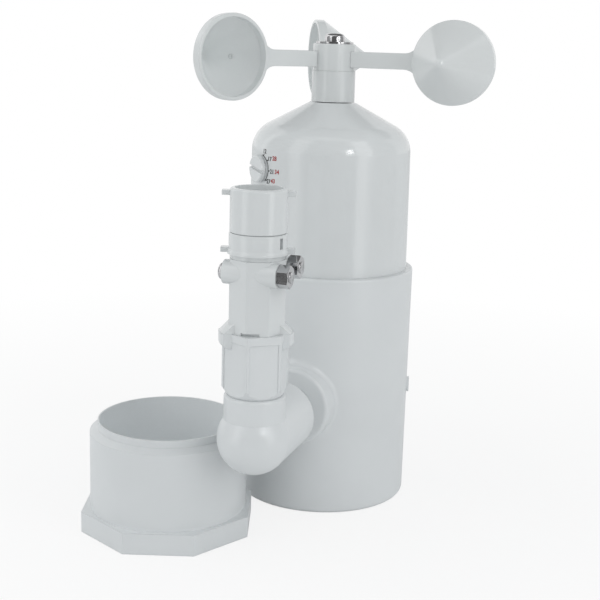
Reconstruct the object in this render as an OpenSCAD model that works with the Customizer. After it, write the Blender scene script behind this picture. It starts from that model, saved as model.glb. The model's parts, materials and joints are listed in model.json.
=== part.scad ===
// Cup wind sensor with a side rain sensor, on pipe fittings.
// Origin: centre of the mouth of the lower pipe socket. +Z points up the rotor shaft.
// The rain sensor's branch leaves the tee along -Y.

/* [Pipe and tee] */
// Outer radius of the mast pipe and of the nipple
pipe_r = 30.15; // [28:0.05:32]
// Wall of the pipe nipple
pipe_wall = 3.9; // [3:0.1:5]
// Radial play of a pipe in its socket
socket_play = 0.05; // [0.03:0.01:0.1]
// Depth of the two pipe sockets
socket_depth = 38; // [32:0.5:39]
// Wall of the tee round its sockets
tee_wall = 5.1; // [4:0.1:7]
// Height of the tee
tee_h = 96; // [94:0.5:110]
// Height of the stop ring's lip inside the tee
stop_lip = 3.2; // [2:0.1:5]
// Round on the tee's outer edges
tee_round = 1.6; // [0.6:0.1:3]
// Height of the branch above the socket mouth
branch_z = 46; // [45:0.5:49]
// Radius of the branch boss
boss_r = 15.5; // [13:0.1:17]
// Distance from the tee's axis to the end of the boss
boss_reach = 42; // [41:0.5:46]
// Radius of the moulding gate's disc
gate_r = 3.2; // [2:0.1:5]
// Height of the gate's disc
gate_h = 0.9; // [0.5:0.1:1.5]
// Direction of the gate round the tee
gate_turn = 14; // [0:1:40]

/* [Bell housing] */
// Height of the bell
bell_h = 66.1; // [64:0.1:72]
// Wall of the bell at its shoulder
bell_wall = 1.85; // [1.5:0.05:2.4]
// Radial play of the bell on the nipple
bell_play = 0.1; // [0.05:0.01:0.2]
// Extra radius at the bell's foot
bell_draft = 0.5; // [0:0.1:1]
// Radius of the flat crown
crown_r = 9.3; // [8.7:0.1:12]
// Slope of the dome below level
dome_pitch = 28; // [24:0.2:30]
// Radius of the shoulder's round
shoulder_r = 12; // [9:0.5:13]
// How far the nipple stands above the tee
nipple_rise = 14; // [12:0.5:15]
// Height of the neck that the rotor's skirt covers
neck_h = 5.9; // [4:0.1:9]
// Radius of the neck
neck_r = 5.6; // [4.5:0.1:6]

/* [Rotor] */
// Distance from the shaft to the middle of a cup's rim
cup_reach = 49.1; // [42:0.1:54]
// Outer radius of a cup's rim
cup_r = 16.1; // [14:0.1:17]
// Wall of a cup
cup_wall = 1.4; // [1.2:0.1:2.2]
// Length of the straight lip at the rim
cup_lip = 3.6; // [3.4:0.1:6]
// Half angle of the cup's cone
cup_angle = 34.8; // [32:0.2:40]
// Radius of the cup's rounded tip
cup_tip_r = 2.2; // [2:0.1:4]
// Height of an arm
arm_h = 6.2; // [5:0.1:7]
// Thickness of an arm
arm_t = 3.2; // [2.6:0.1:3.4]
// Round between an arm and its cup
arm_fillet = 6; // [3:0.5:7]
// Height of the arms above the hub's lower face
arm_rise = 4.6; // [3.8:0.1:5]
// Radius of the hub
hub_r = 8.5; // [7.9:0.05:8.6]
// Height of the hub
hub_h = 10.5; // [9:0.1:13]
// Height of the skirt under the hub
skirt_h = 12.1; // [10.5:0.1:14]
// Radius of the skirt
skirt_r = 8.65; // [8.6:0.05:10]
// Wall of the skirt
skirt_wall = 2; // [1.5:0.1:2.2]
// Gap between the skirt and the bell
skirt_gap = 0.3; // [0.2:0.1:1.5]
// Direction of the first cup at rest
cup_turn = -1.9; // [-60:0.1:60]
// Radius of the top washer
washer_r = 7.45; // [6:0.05:8]
// Thickness of the top washer
washer_t = 0.8; // [0.6:0.1:1.2]
// Radius of the top screw's head
top_head_r = 4.1; // [3:0.05:4.5]
// Height of the top screw's head
top_head_h = 3.3; // [2:0.1:3.5]

/* [Shaft and bearings] */
// Radius of the rotor shaft
shaft_r = 2; // [1.8:0.05:2.2]
// Radial play of a part fixed on the shaft
seat_play = 0.02; // [0.01:0.01:0.04]
// Radial play of a part that runs or slides on another
run_play = 0.06; // [0.04:0.01:0.09]
// Outer radius of a bearing
bearing_r = 6; // [5.6:0.1:6.4]
// Width of a bearing
bearing_w = 4; // [3.5:0.1:4.5]
// Thickness of a bearing's races
race_t = 1.2; // [1:0.05:1.3]
// Balls in a bearing
ball_count = 8; // [6:1:9]
// Thickness of the shaft's retaining clips
clip_t = 0.8; // [0.6:0.1:1]
// Wall round a bearing seat
seat_wall = 2.5; // [2:0.1:2.8]

/* [Governor] */
// Distance of a flyweight's pin from the shaft
pin_reach = 8.5; // [8:0.1:9]
// Radius of a flyweight's pin
pin_r = 1; // [0.8:0.05:1.2]
// Width of the crosshead bar
bar_w = 4; // [3.4:0.1:4.4]
// Height of the crosshead bar
bar_h = 3.6; // [3:0.1:4]
// Thickness of a flyweight's cheek
cheek_t = 1.4; // [1:0.1:1.6]
// Depth of a flyweight's block
weight_d = 5.8; // [4.5:0.1:6.4]
// Width of a flyweight's block
weight_w = 9; // [8:0.2:9.6]
// Height of a flyweight's block
weight_h = 9.8; // [8:0.2:10.4]
// Reach of a flyweight's toe towards the shaft
toe_reach = 3.9; // [3.4:0.1:4.1]
// Radius of the toe's round end
toe_r = 0.8; // [0.6:0.05:0.9]
// Radius of the collar's sleeve
sleeve_r = 3.6; // [3.2:0.1:3.8]
// Radius of the collar's upper flange
flange_r = 6.2; // [5.8:0.1:6.4]
// Thickness of the collar's flanges
flange_t = 1.4; // [1:0.1:1.8]
// Gap that keeps touching parts of the mechanism apart at rest
rest_gap = 0.3; // [0.2:0.05:0.35]
// Length of the governor spring
gov_spring_h = 5.8; // [5:0.1:6.4]
// Radius of the spring wires
wire_r = 0.35; // [0.25:0.05:0.4]

/* [Speed dial and switch] */
// Direction of the dial round the bell
dial_turn = -131.8; // [-136:0.2:-118]
// Height of the dial above the tee
dial_rise = 40.2; // [37:0.1:42]
// Radius of the dial
dial_r = 5.3; // [5.1:0.1:6]
// Thickness of the dial
dial_t = 1.8; // [1.6:0.1:3]
// Radius of the boss behind the dial
dial_boss_r = 5; // [4.8:0.1:6]
// How far the boss stands out from the bell
dial_boss_h = 0.3; // [0.2:0.1:2]
// Radius of the dial's spindle
spindle_r = 2; // [1.8:0.05:2.2]
// Offset of the dial's eccentric pin
cam_offset = 1.2; // [0.8:0.05:1.3]
// Radius of the eccentric pin
cam_pin_r = 0.7; // [0.5:0.05:0.8]
// Width of the screwdriver slot
slot_w = 1.2; // [0.8:0.1:1.6]
// Depth of the screwdriver slot
slot_depth = 1; // [0.6:0.1:1]
// Turn of the screwdriver slot
slot_turn = -10; // [-60:1:60]
// Radius of the switch carrier's guide posts
post_r = 1.5; // [1.2:0.1:1.6]
// Distance of the guide posts from the shaft
post_reach = 24; // [23.6:0.1:24.4]
// Half of the spacing between the guide posts
post_half = 5.5; // [5.3:0.1:6]
// Length of a miniature switch
switch_l = 12.6; // [11.6:0.1:12.8]
// Width of a miniature switch
switch_w = 5.8; // [5:0.1:6]
// Height of a miniature switch
switch_h = 5.2; // [4.6:0.1:5.4]
// Thickness of the mechanism plate
plate_t = 3; // [2.5:0.1:3.2]

/* [Rain branch] */
// Outer radius of the branch pipe
branch_r = 8.55; // [8:0.05:9]
// Bore of the branch
branch_bore_r = 6; // [5:0.1:6.4]
// Distance from the tee's axis to the rain sensor's axis
rain_reach = 80.7; // [79:0.1:88]
// Radius of the elbow's legs
elbow_leg_r = 13.3; // [12.6:0.1:13.4]
// Radius of the elbow's ball
elbow_ball_r = 13.4; // [13.4:0.1:14]
// Radius of the elbow's upper neck
elbow_neck_r = 11.1; // [10.6:0.1:12.4]
// Height of the elbow's mouth above the branch axis
elbow_rise = 16.7; // [15:0.1:19]
// Gap between the elbow's leg and the boss
elbow_gap = 9; // [6:0.5:14]
// Depth of the elbow's spigot in the boss
boss_depth = 10; // [7:0.5:10.5]
// Depth of the collar's spigot in the elbow
branch_depth = 12; // [10:0.5:13]
// Corner radius of the six-sided collar
collar_r = 12.3; // [12:0.1:13]
// Height of the collar below its wings
collar_h = 17.8; // [15:0.1:22]
// Chamfer at the collar's foot
collar_chamfer = 4; // [2:0.1:5]
// Turn of the collar's sides
collar_turn = 7; // [-30:0.5:30]
// Height of the plain band over the collar's panels
collar_band = 3; // [2:0.1:6]
// Radius of the two wings at the collar's top
collar_flange_r = 13.4; // [13.1:0.1:14.5]
// Height of the wings
collar_flange_h = 5.2; // [4:0.1:7]

/* [Rain sensor] */
// Width across flats of the eight-sided sensor body
rain_af = 19.5; // [18.8:0.1:21]
// Height of the sensor body
rain_h = 26.1; // [25.4:0.1:28]
// Height of the sensor body's two flared feet
rain_foot_h = 4.1; // [3:0.1:5]
// Width of the flared feet
rain_foot_w = 12; // [8:0.5:18]
// Bore of the sensor body
rain_bore_r = 7.4; // [7.2:0.05:7.6]
// Depth of the bolts below the body's top
bolt_drop = 3.95; // [3.9:0.05:4.4]
// Half of the spacing between the bolts
bolt_half = 5.2; // [5.1:0.1:5.6]
// How far each bolt stands off the bolts' middle level
bolt_stagger = 0.85; // [0:0.05:0.85]
// Radius of the bolts
bolt_r = 2; // [1.5:0.1:2]
// Radius of the bosses round the bolts
bolt_boss_r = 4.3; // [3.6:0.1:4.6]
// Distance of the bosses' ends from the sensor's axis
bolt_boss_x = 10; // [10:0.1:12]
// Width across flats of the nuts
nut_af = 7.2; // [6:0.1:7.6]
// Thickness of the nuts
nut_t = 4.2; // [3:0.1:5]
// Radius of the bolts' heads
bolt_head_r = 3; // [2.6:0.1:3.6]
// Height of the bolts' heads
bolt_head_h = 1.9; // [1.4:0.1:2.6]
// Radius of the neck that carries the vent ring and the cap
rain_neck_r = 8.4; // [8.2:0.05:8.6]
// Thickness of the flange under that neck
rain_flange_t = 1.6; // [1.2:0.1:2.4]
// Radius of the vent ring
vent_r = 10.2; // [9.8:0.1:11]
// Height of the vent ring
vent_h = 7.3; // [6:0.1:8]
// Gap between the vent ring and the cap
cap_gap = 0.1; // [0.1:0.05:1.2]
// Radius of the rain cap
cap_r = 10; // [9.6:0.1:10.6]
// Height of the rain cap
cap_h = 15.4; // [14:0.1:18]
// Radius of the open recess in the cap
cap_recess_r = 8.3; // [7.6:0.1:8.6]
// Depth of the recess in the cap
cap_recess_h = 7; // [5:0.1:7.4]
// Length of the finger tabs
tab_l = 2.7; // [1.5:0.1:4]
// Thickness of the finger tabs
tab_t = 1.7; // [1.2:0.1:2.4]
// Radius of the absorbent discs
disc_r = 6.2; // [5.6:0.1:6.4]
// Absorbent discs in the stack
disc_count = 6; // [4:1:8]
// Radius of the plunger's stem
stem_r = 1.3; // [1:0.1:1.4]

/* [Loose bushing] */
// Height of the bushing
bushing_h = 42.5; // [36:0.5:50]
// Wall of the bushing's spigot
bushing_wall = 3.6; // [3:0.1:4.5]
// Thickness of the bushing's thin rim
bushing_rim = 0.6; // [0.4:0.1:1.5]
// Height of the thin rim above the bushing's ledge
bushing_lip = 2.8; // [1:0.1:4]
// Fall of the ledge from the rim to the spigot's side
bushing_ledge = 1.6; // [0.5:0.1:3]
// Radius of the hole in the bushing's foot
bushing_hole_r = 24; // [20:0.1:25]
// Height of the thick foot inside the bushing
bushing_seat_h = 20; // [12:0.5:28]
// Corner radius of the eight-sided flange
bushing_flange_r = 34.4; // [32.9:0.1:38]
// Height of the flange
bushing_flange_h = 8.2; // [6:0.1:12]
// Turn of the flange's corners
bushing_turn = 41; // [0:0.1:45]
// Gap between the bushing and the elbow's leg
bushing_gap = 0.8; // [0.3:0.1:20]
// Place of the bushing along Y
bushing_y = -63.3; // [-70:0.1:-60]

/* [Hidden] */
$fn = 96;
// How far a cutting shape passes the face that it cuts
cut = 1;

// Colours of the plastics and metals
pvc = "#dfe4e6";
white = "#e9edee";
steel = "#b9bcc0";
brass = "#c8a24a";
dark = "#2b2d30";

// Tee
socket_r = pipe_r + socket_play;
tee_r = socket_r + tee_wall;
stop_r = socket_r - stop_lip;
branch_socket_r = branch_r + socket_play;

// Bell outline
bell_bore_r = pipe_r + bell_play;
bell_r = bell_bore_r + bell_wall;
bell_top = tee_h + bell_h;
shoulder_x = bell_r - shoulder_r;
tangent_x = shoulder_x + shoulder_r * sin(dome_pitch);
shoulder_z = bell_top - (tangent_x - crown_r) * tan(dome_pitch) - shoulder_r * cos(dome_pitch);
arc_steps = 16;

// Levels of the shaft and of the mechanism, from the plate up
plate_z = tee_h + nipple_rise;
plate_top = plate_z + plate_t;
seat_lip = 0.8;
lower_bearing_z = plate_z + seat_lip;
plate_hub_top = lower_bearing_z + bearing_w + 0.2;
plate_hub_r = bearing_r + seat_wall;
race_gap = bearing_r - shaft_r - 2 * race_t;
ball_r = race_gap / 2 - run_play;
seat_gap = 1;
spring_seat_z = plate_hub_top + seat_gap;
spring_seat_t = 1.2;
spring_seat_r = 4.2;
spring_room = 0.4;
collar_z = spring_seat_z + spring_seat_t + gov_spring_h;
disc_rise = 2.4;
disc_z = collar_z + disc_rise;
collar_disc_r = 6;
toe_drop = 1;
bearing_drop = 13.1;
upper_bearing_z = bell_top - bearing_drop;
clip_z = upper_bearing_z - clip_t;
crosshead_gap = 1.2;
pin_z = clip_z - crosshead_gap - bar_h / 2;
crosshead_z = pin_z - bar_h / 2;
flange_top = pin_z - toe_drop - toe_r - rest_gap;
weight_drop = 4.2;
weight_top = pin_z - weight_drop;
cheek_y = bar_w / 2 + rest_gap;
pivot_r = 2.2;
clip_r = 3.6;
boss_lip = 0.5;
boss_bottom = upper_bearing_z - boss_lip;
shaft_tail = 3;
shaft_bottom = lower_bearing_z - clip_t - shaft_tail;

// Pillars of the bell that hold the plate
pillar_r = 2.6;
pillar_gap = 0.65;
pillar_turns = [30, 150, 270];
screw_r = 1.2;
screw_head_r = 2.1;
screw_head_h = 1.6;
screw_length = 9;
pillar_reach = pipe_r - pipe_wall - screw_head_r - pillar_gap;

// Rotor
skirt_z = bell_top + skirt_gap;
hub_z = skirt_z + skirt_h;
hub_top = hub_z + hub_h;
arm_z = hub_z + arm_rise;
shaft_cover = 3;
shaft_top = hub_top - shaft_cover;
cup_turns = [cup_turn, cup_turn + 120, cup_turn + 240];
cup_apex = cup_lip + cup_r / tan(cup_angle);
cup_inner_apex = cup_apex - cup_wall / sin(cup_angle);
rim_round = 0.45;
top_screw_r = 1.3;
top_screw_length = 10;
washer_hole_r = top_screw_r + 0.4;

// Dial and switch, in a frame whose +X points at the dial
dial_z = tee_h + dial_rise;
dial_face = bell_r + dial_boss_h;
dial_gap = 0.3;
dial_front = dial_face + dial_gap + dial_t;
dial_boss_in = bell_bore_r - 0.6;
dial_boss_root = 3;
seal_r = 3.6;
seal_t = 1;
web_t = 2;
web_x = post_reach - web_t;
web_w = 7;
cam_room = 0.15;
carrier_travel = cam_offset * sin(60);
spindle_end = web_x + web_t + 1.2;
carrier_room = 2;
carrier_z = plate_top + carrier_travel + carrier_room;
carrier_h = 5;
carrier_half = post_half + post_r + 1;
carrier_x0 = post_reach - post_r - 0.7;
carrier_x1 = post_reach + post_r + 0.9;
post_spare = 6;
post_h = carrier_h + 2 * carrier_travel + post_spare;
switch_x1 = carrier_x0;
switch_x0 = switch_x1 - switch_l;
arm_plate_t = 1.9;
lever_t = 0.5;
lever_w = 3.6;
lever_tip_x = sleeve_r + 0.8;
lever_pivot_x = switch_x1 - 1.6;
lever_rise = 1.5;
lever_z = carrier_z + switch_h + lever_rise;
lever_pin_r = 0.6;
lever_ear_r = 1.1;
lever_ear_half = 0.3;
lever_ear_y = lever_w / 2 + rest_gap + lever_ear_half;
button_r = 0.8;
button_arm = 4.5;
button_x = lever_pivot_x - button_arm;
button_top = lever_z - rest_gap;
button_depth = 2;
mount_screw_r = 0.8;
mount_screw_inset = 2;
mount_screw_xs = [switch_x0 + mount_screw_inset, switch_x1 - mount_screw_inset];

// Rain branch and sensor
elbow_mouth = branch_z + elbow_rise;
collar_top = elbow_mouth + collar_h + collar_flange_h;
collar_rib = 0.9;
collar_panel = 0.3;
collar_bevel = 1.4;
rain_z = collar_top;
rain_top = rain_z + rain_h;
rain_corner = rain_af / 2 / cos(22.5);
foot_r = collar_flange_r - 0.3;
foot_top_r = rain_af / 2 - 0.4;
foot_turn = 24;
bolt_z = rain_top - bolt_drop;
bolt_places = [[-bolt_half, bolt_z - bolt_stagger], [bolt_half, bolt_z + bolt_stagger]];
bolt_play = 0.05;
guide_drop = 2.4;
guide_seat_z = bolt_z - bolt_stagger - bolt_r - guide_drop;
guide_t = 2;
guide_ledge = 0.55;
guide_r = rain_bore_r + guide_ledge;
guide_play = 0.05;
plug_rise = 2.3;
plug_z = rain_z + plug_rise;
switch_gap = 1.5;
rain_switch_z = guide_seat_z - switch_gap - switch_h;
plug_lip = 1.9;
plug_lip_r = rain_bore_r - plug_lip;
stub_depth = 11;
vent_z = rain_top + rain_flange_t;
cap_z = vent_z + vent_h + cap_gap;
cap_top = cap_z + cap_h;
deck_t = 1.6;
drain_r = 1.3;
drain_reach = 4.6;
deck_z = cap_top - cap_recess_h - deck_t;
neck_gap = 0.4;
neck_top = deck_z - neck_gap;
neck_wall = 1.4;
rain_neck_bore = rain_neck_r - neck_wall;
turn_r = rain_neck_r + run_play;
head_rise = 0.3;
head_z = rain_top + head_rise;
head_t = 1.6;
disc_gap = 0.06;
stack_h = deck_z - rest_gap - head_z - head_t;
disc_pitch = stack_h / disc_count;
rain_button_rise = 0.8;
rain_button_top = rain_switch_z + switch_h + rain_button_rise;
stem_bottom = rain_button_top + rest_gap;
tab_w = 3.4;
tab_turn = 17.4;
window_w = 1.6;
window_h = 3.8;
window_turn = -17;
bolt_tip = 0.4;
nut_bevel = 0.5;
notch_w = 6.5;
notch_h = 1;
notch_depth = 1.8;
notch_turn = -82;

// Loose bushing
bushing_in_r = pipe_r - bushing_wall;
bushing_rim_r = bushing_in_r + bushing_rim;
ledge_z = bushing_h - bushing_lip;
leg_room = elbow_leg_r + bushing_gap;
bushing_x = -max(pipe_r + leg_half(ledge_z - bushing_ledge), bushing_rim_r + leg_half(bushing_h));

// Half of the room that the elbow's leg takes beside an edge of the bushing at height z
function leg_half(z) = sqrt(max(0, pow(leg_room, 2) - pow(max(0, branch_z - z), 2)));

// Points of an arc round c, from angle a0 to angle a1
function arc(c, r, a0, a1, n = arc_steps) =
    [for (i = [0:n]) c + r * [cos(a0 + (a1 - a0) * i / n), sin(a0 + (a1 - a0) * i / n)]];

// Solid turned round Z from a half outline of radius and height
module turned(points) {
    rotate_extrude() polygon(points);
}

// Tube round Z
module tube(outer, inner, z0, z1) {
    difference() {
        translate([0, 0, z0]) cylinder(r = outer, h = z1 - z0);
        translate([0, 0, z0 - cut]) cylinder(r = inner, h = z1 - z0 + 2 * cut);
    }
}

// Solid rod round Z
module rod(r, z0, z1) {
    translate([0, 0, z0]) cylinder(r = r, h = z1 - z0);
}

// Box given by its two corners
module block(low, high) {
    translate(low) cube(high - low);
}

// Moves along X of a solid that stands on Z
module along_x(x) {
    translate([x, 0, 0]) rotate([0, 90, 0]) children();
}

// Frame whose +X points at the dial
module at_dial() {
    rotate([0, 0, dial_turn]) children();
}

// Frame of the rain sensor's axis
module at_rain() {
    translate([0, -rain_reach, 0]) children();
}

// Pan head of a screw on the plane z = 0, with a round crown and a cross recess
module pan_head(r, h) {
    difference() {
        turned(concat([[0, 0], [r, 0]], arc([r - h * 0.6, h * 0.4], h * 0.6, 0, 90), [[0, h]]));
        for (a = [0, 90]) rotate([0, 0, a])
            block([-r * 0.55, -r * 0.11, h * 0.5], [r * 0.55, r * 0.11, h + cut]);
    }
}

// Open coil of round wire between two levels, swept as one tube
module coil(radius, z0, z1, turns) {
    rings = turns * 12;
    sides = 6;
    low = z0 + wire_r + 0.05;
    rise = z1 - z0 - 2 * wire_r - 0.1;
    points = [for (i = [0:rings], k = [0:sides - 1])
        let (a = 360 * turns * i / rings, b = 360 * k / sides, d = radius + wire_r * cos(b))
        [d * cos(a), d * sin(a), low + rise * i / rings + wire_r * sin(b)]];
    skin = [for (i = [0:rings - 1], k = [0:sides - 1], half = [0, 1])
        let (p = i * sides + k, q = i * sides + (k + 1) % sides)
        half == 0 ? [p, p + sides, q] : [q, p + sides, q + sides]];
    ends = [for (k = [1:sides - 2], end = [0, 1])
        let (s = rings * sides) end == 0 ? [0, k, k + 1] : [s, s + k + 1, s + k]];
    polyhedron(points, concat(skin, ends));
}

// Tee: two pipe sockets with a stop between them, and a boss for the branch
module tee_fitting() {
    color(pvc) difference() {
        union() {
            turned(concat([[0, 0]], arc([tee_r - tee_round, tee_round], tee_round, -90, 0, 6),
                arc([tee_r - tee_round / 2, tee_h - tee_round / 2], tee_round / 2, 0, 90, 6), [[0, tee_h]]));
            translate([0, 0, branch_z]) rotate([90, 0, 0])
                turned(concat([[0, 0]], [[boss_r, 0]],
                    arc([boss_r - tee_round, boss_reach - tee_round], tee_round, 0, 90, 6),
                    [[0, boss_reach]]));
            rotate([0, 0, gate_turn]) translate([0, 0, branch_z])
                along_x(tee_r - 1) rod(gate_r, 0, 1 + gate_h);
        }
        rod(socket_r, -cut, socket_depth);
        rod(stop_r, 0, tee_h);
        rod(socket_r, tee_h - socket_depth, tee_h + cut);
        translate([0, 0, branch_z]) rotate([90, 0, 0]) {
            rod(branch_bore_r, 0, boss_reach);
            rod(branch_socket_r, boss_reach - boss_depth, boss_reach + cut);
        }
    }
}

// Pipe nipple in the tee's upper socket, which carries the bell
module pipe_nipple() {
    color(pvc) tube(pipe_r, pipe_r - pipe_wall, tee_h - socket_depth, plate_z);
}

// Outer half outline of the bell
function bell_outline() = concat(
    [[0, tee_h], [bell_r + bell_draft, tee_h], [bell_r, shoulder_z]],
    arc([shoulder_x, shoulder_z], shoulder_r, 0, 90 - dome_pitch),
    [[crown_r, bell_top], [0, bell_top]]);

// Inner half outline of the bell
function bell_hollow() = concat(
    [[0, tee_h - cut], [bell_bore_r, tee_h - cut], [bell_bore_r, shoulder_z]],
    arc([shoulder_x, shoulder_z], shoulder_r - bell_wall, 0, 90 - dome_pitch),
    [[crown_r, bell_top - bell_wall / cos(dome_pitch)], [0, bell_top - bell_wall / cos(dome_pitch)]]);

// Bell: dome, neck, bearing boss, dial boss and the pillars for the plate
module bell_housing() {
    color(white) difference() {
        union() {
            difference() {
                union() {
                    turned(bell_outline());
                    at_dial() translate([0, 0, dial_z])
                        along_x(bell_r - dial_boss_root) rod(dial_boss_r, 0, dial_boss_h + dial_boss_root);
                    rod(neck_r, bell_top - 1, bell_top + neck_h);
                }
                turned(bell_hollow());
            }
            intersection() {
                turned(bell_outline());
                union() {
                    rod(plate_hub_r, boss_bottom, bell_top);
                    for (a = pillar_turns) rotate([0, 0, a]) translate([pillar_reach, 0, 0])
                        rod(pillar_r, plate_top, bell_top);
                    at_dial() translate([0, 0, dial_z]) along_x(dial_boss_in) rod(dial_boss_r, 0, bell_wall);
                }
            }
        }
        rod(bearing_r + seat_play, boss_bottom - cut, upper_bearing_z + bearing_w);
        rod(shaft_r + 0.6, boss_bottom, bell_top + neck_h + cut);
        for (a = pillar_turns) rotate([0, 0, a]) translate([pillar_reach, 0, 0])
            rod(screw_r + run_play, plate_top - cut, plate_z + screw_length + 1);
        at_dial() translate([0, 0, dial_z]) {
            along_x(dial_boss_in - cut) rod(spindle_r + run_play, 0, dial_face - dial_boss_in + 2 * cut);
            along_x(dial_face - seal_t) rod(seal_r, 0, seal_t + cut);
        }
    }
}

// Plate that carries the lower bearing and the switch carrier's guide posts
module mechanism_plate() {
    color(dark) difference() {
        union() {
            rod(bell_bore_r - 2 * bell_play, plate_z, plate_top);
            rod(plate_hub_r, plate_z - 2, plate_hub_top);
            at_dial() for (s = [-1, 1]) translate([post_reach, s * post_half, 0])
                rod(post_r, plate_z, plate_top + post_h);
        }
        rod(bearing_r + seat_play, lower_bearing_z, plate_hub_top + cut);
        rod(bearing_r - race_t, plate_z - 2 - cut, plate_hub_top);
        for (a = pillar_turns) rotate([0, 0, a]) translate([pillar_reach, 0, 0])
            rod(screw_r + 0.2, plate_z - cut, plate_top + cut);
    }
}

// Screws that hold the plate to the bell's pillars
module plate_screws() {
    color(steel) for (a = pillar_turns) rotate([0, 0, a]) translate([pillar_reach, 0, plate_z]) {
        rod(screw_r, -0.1, screw_length);
        rotate([180, 0, 0]) pan_head(screw_head_r, screw_head_h);
    }
}

// Outer races of the two bearings
module outer_races() {
    color(steel) for (z = [lower_bearing_z, upper_bearing_z])
        tube(bearing_r, bearing_r - race_t, z, z + bearing_w);
}

// Inner races of the two bearings
module inner_races() {
    color(steel) for (z = [lower_bearing_z, upper_bearing_z])
        tube(shaft_r + race_t, shaft_r + seat_play, z, z + bearing_w);
}

// Balls of the two bearings
module bearing_balls() {
    color(steel) for (z = [lower_bearing_z, upper_bearing_z], i = [0:ball_count - 1])
        rotate([0, 0, 360 * i / ball_count])
            translate([shaft_r + race_t + race_gap / 2, 0, z + bearing_w / 2]) sphere(r = ball_r, $fn = 24);
}

// Ring that seals the dial's spindle
module dial_seal() {
    color(dark) at_dial() translate([0, 0, dial_z])
        along_x(dial_face - seal_t) tube(seal_r - seat_play, spindle_r + 0.2, 0, seal_t);
}

// Hub of the rotor
module rotor_hub() {
    color(white) difference() {
        turned(concat([[0, hub_z], [hub_r, hub_z]],
            arc([hub_r - rim_round, hub_top - rim_round], rim_round, 0, 90, 4), [[0, hub_top]]));
        rod(shaft_r + seat_play, hub_z - cut, shaft_top);
        rod(top_screw_r + 0.2, shaft_top - cut, hub_top + cut);
    }
}

// Outside of a cup turned round Z, open end at z = 0 and tip below
function cup_outside() = concat(
    [[0, 0]], arc([cup_r - rim_round, -rim_round], rim_round, 90, 0, 4), [[cup_r, -cup_lip]],
    arc([0, cup_tip_r / sin(cup_angle) - cup_apex], cup_tip_r, -cup_angle, -90, 6));

// Inside of a cup
function cup_inside() =
    [[0, cut], [cup_r - cup_wall, cut], [cup_r - cup_wall, -cup_lip + cup_wall * tan(cup_angle / 2)],
     [0, -cup_inner_apex]];

// Outline of an arm in the plane of its length and height, flared at the cup
function arm_outline() =
    let (h = arm_h / 2, f = h + arm_fillet, x = cup_reach - sqrt(cup_r * cup_r - f * f) - arm_fillet)
    concat([[0, -h]], arc([x, -f], arm_fillet, 90, 0, 8), [[cup_reach, -f], [cup_reach, f]],
        arc([x, f], arm_fillet, 0, -90, 8), [[0, h]]);

// Cup with its arm, standing along +X, open towards +Y
module cup_arm(turn) {
    color(white) rotate([0, 0, turn]) translate([0, 0, arm_z]) difference() {
        union() {
            translate([cup_reach, 0, 0]) rotate([-90, 0, 0]) turned(cup_outside());
            intersection() {
                translate([0, -(cup_lip - arm_t) / 2, 0]) rotate([90, 0, 0])
                    linear_extrude(arm_t) polygon(arm_outline());
                block([0, -cup_lip, -cup_r], [cup_reach, 0, cup_r]);
            }
        }
        translate([cup_reach, 0, 0]) rotate([-90, 0, 0]) turned(cup_inside());
        rod(hub_r + seat_play, -cup_r, cup_r);
    }
}

module cup_arm_1() {
    cup_arm(cup_turns[0]);
}

module cup_arm_2() {
    cup_arm(cup_turns[1]);
}

module cup_arm_3() {
    cup_arm(cup_turns[2]);
}

// Skirt that covers the bell's neck and keeps rain out
module hub_skirt() {
    color(white) difference() {
        rod(skirt_r, skirt_z, hub_z);
        rod(skirt_r - skirt_wall, skirt_z - cut, bell_top + neck_h + 1);
        rod(shaft_r + seat_play, skirt_z, hub_z + cut);
    }
}

// Washer under the top screw
module top_washer() {
    color(steel) tube(washer_r, washer_hole_r, hub_top, hub_top + washer_t);
}

// Screw that holds the rotor on the shaft
module top_screw() {
    color(steel) {
        rod(top_screw_r, hub_top + washer_t - top_screw_length, hub_top + washer_t + 0.2);
        translate([0, 0, hub_top + washer_t]) pan_head(top_head_r, top_head_h);
    }
}

// Rotor shaft, tapped at its top
module rotor_shaft() {
    color(steel) difference() {
        rod(shaft_r, shaft_bottom, shaft_top);
        rod(top_screw_r + run_play, hub_top + washer_t - top_screw_length - 1, shaft_top + cut);
    }
}

// Clips that keep the shaft in its bearings
module shaft_clips() {
    color(steel) for (z = [lower_bearing_z - clip_t, clip_z])
        tube(clip_r, shaft_r + seat_play, z, z + clip_t);
}

// Crosshead on the shaft, with a bar for the flyweights' pins
module governor_crosshead() {
    color(brass) difference() {
        union() {
            rod(shaft_r + 1.7, crosshead_z, crosshead_z + bar_h);
            block([-pin_reach - pin_r - 1, -bar_w / 2, crosshead_z],
                [pin_reach + pin_r + 1, bar_w / 2, crosshead_z + bar_h]);
        }
        rod(shaft_r + seat_play, crosshead_z - cut, crosshead_z + bar_h + cut);
        for (s = [-1, 1]) translate([s * pin_reach, 0, pin_z]) rotate([90, 0, 0])
            rod(pin_r + seat_play, -bar_w, bar_w);
    }
}

// Pins that the flyweights swing on
module flyweight_pins() {
    color(steel) for (s = [-1, 1]) translate([s * pin_reach, 0, pin_z]) rotate([90, 0, 0])
        rod(pin_r, -cheek_y - cheek_t - 0.4, cheek_y + cheek_t + 0.4);
}

// Ring on the shaft that carries the governor spring
module spring_seat() {
    color(steel) tube(spring_seat_r, shaft_r + seat_play, spring_seat_z, spring_seat_z + spring_seat_t);
}

// Spring that lifts the collar against the flyweights
module governor_spring() {
    color(steel) coil(sleeve_r - wire_r - spring_room / 2, spring_seat_z + spring_seat_t, collar_z, 4);
}

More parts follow.
